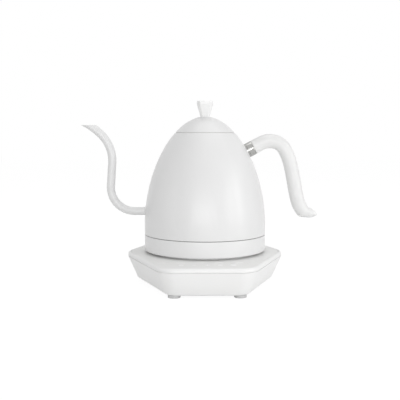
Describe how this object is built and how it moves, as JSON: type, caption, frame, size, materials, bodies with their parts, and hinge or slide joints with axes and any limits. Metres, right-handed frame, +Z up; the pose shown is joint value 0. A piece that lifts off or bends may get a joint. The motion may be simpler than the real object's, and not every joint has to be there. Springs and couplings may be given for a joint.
{
  "type": "electric gooseneck kettle with power base",
  "caption": "White electric gooseneck kettle with a lift-off lid and S-shaped grip, on a hexagonal touch-panel power base it lifts off and turns on.",
  "frame": {"origin": "on the kettle's axis, in the plane the feet stand on", "axes": "+Z up; the spout points along -X and the grip along +X; the control panel faces -Y"},
  "size_m": [0.2721, 0.226, 0.2057],
  "materials": {
    "white_coat": "satin powder coat",
    "white_plastic": "fine satin",
    "panel": "gloss",
    "steel": "brushed",
    "collar_steel": "polished",
    "brass": "bare",
    "element": "heat-tinted",
    "rubber_grey": "matt",
    "rubber_dark": "matt",
    "silicone": "satin",
    "dark_plastic": "matt",
    "board": "solder mask",
    "part_blue": "matt",
    "part_yellow": "taped",
    "display": "gloss",
    "lead_red": "sleeved"
  },
  "bodies": {
    "base": {"base_housing": "white_plastic", "top_cover": "white_plastic", "touch_panel": "panel", "base_connector": "dark_plastic", "base_contacts": "brass", "cord_bush": "rubber_grey", "touch_board": "board", "touch_sensors": "steel", "display_module": "display", "board_screws": "steel", "power_board": "board", "relay": "part_blue", "transformer": "part_yellow", "capacitor": "part_blue", "buzzer": "dark_plastic", "terminal_block": "white_plastic", "base_leads": "lead_red", "base_screws": "steel", "feet": "rubber_grey"},
    "pin": {"centre_pin": "brass"},
    "kettle": {"body_shell": "white_coat", "neck_ring": "steel", "spout_tube": "white_coat", "heater_plate": "steel", "heating_element": "element", "temperature_probe": "steel", "thermostat": "dark_plastic", "seam_seal": "rubber_dark", "skirt_ring": "white_coat", "lower_cover": "white_plastic", "cover_screws": "steel", "coupler": "dark_plastic", "coupler_contacts": "brass", "coupler_leads": "lead_red", "handle_collar": "collar_steel", "handle_stud": "steel", "grip_insert": "brass", "grip": "white_plastic"},
    "lid": {"lid_shell": "white_coat", "lid_liner": "steel", "lid_seal": "silicone", "knob": "white_plastic", "knob_screw": "steel"}
  },
  "joints": [
    {"name": "kettle_swivel", "type": "hinge", "parent": "base", "child": "pin", "pos_m": [0, 0, 0.04], "axis": [0, 0, 1], "continuous": true},
    {"name": "kettle_lift", "type": "slide", "parent": "pin", "child": "kettle", "axis": [0, 0, 1], "range_m": [0, 0.12]},
    {"name": "lid_lift", "type": "slide", "parent": "kettle", "child": "lid", "axis": [0, 0, 1], "range_m": [0, 0.06]}
  ]
}
